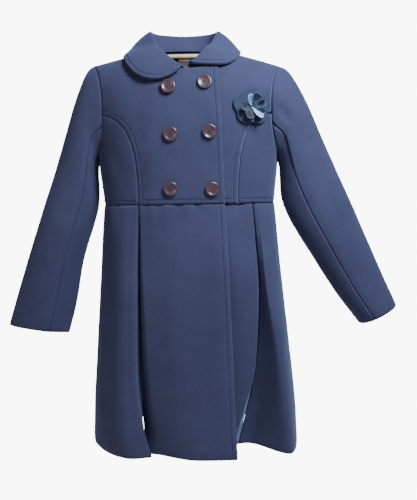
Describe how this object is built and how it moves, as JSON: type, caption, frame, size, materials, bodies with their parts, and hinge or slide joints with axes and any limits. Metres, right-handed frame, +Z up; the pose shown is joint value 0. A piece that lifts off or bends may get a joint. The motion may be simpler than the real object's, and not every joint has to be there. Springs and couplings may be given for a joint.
{
  "type": "girl's winter coat on a hanger bar",
  "caption": "Double-breasted girl's winter coat with a flared pleated skirt, round collar and felt flower, hanging filled out on a plain round hanger bar.",
  "frame": {"origin": "middle of the round hanger bar, inside the coat's neck", "axes": "+Z up, -Y out of the coat's front, +X to the wearer's left"},
  "size_m": [0.679, 0.2422, 0.7147],
  "materials": {
    "navy_coating": "matt napped wool-blend coating",
    "plum_plastic": "polished",
    "navy_felt": "matt felt",
    "pale_felt": "matt felt",
    "label_satin": "satin ribbon, bare",
    "pale_wood": "clear varnish"
  },
  "bodies": {
    "root": {"bodice_back": "navy_coating", "bodice_front_left": "navy_coating", "bodice_front_right": "navy_coating", "bodice_side_left": "navy_coating", "bodice_side_right": "navy_coating", "collar": "navy_coating", "skirt_back": "navy_coating", "skirt_front_left": "navy_coating", "skirt_front_right": "navy_coating", "skirt_side_left": "navy_coating", "skirt_side_right": "navy_coating", "under_sleeve_left": "navy_coating", "under_sleeve_right": "navy_coating", "upper_sleeve_left": "navy_coating", "upper_sleeve_right": "navy_coating", "button_1": "plum_plastic", "button_2": "plum_plastic", "button_3": "plum_plastic", "button_4": "plum_plastic", "button_5": "plum_plastic", "button_6": "plum_plastic", "flower_base": "navy_felt", "flower_petal_1": "navy_felt", "flower_petal_2": "navy_felt", "flower_petal_3": "navy_felt", "flower_petal_4": "navy_felt", "flower_petal_5": "navy_felt", "flower_heart_1": "pale_felt", "flower_heart_2": "pale_felt", "label": "label_satin", "hanger_bar": "pale_wood"}
  },
  "joints": []
}
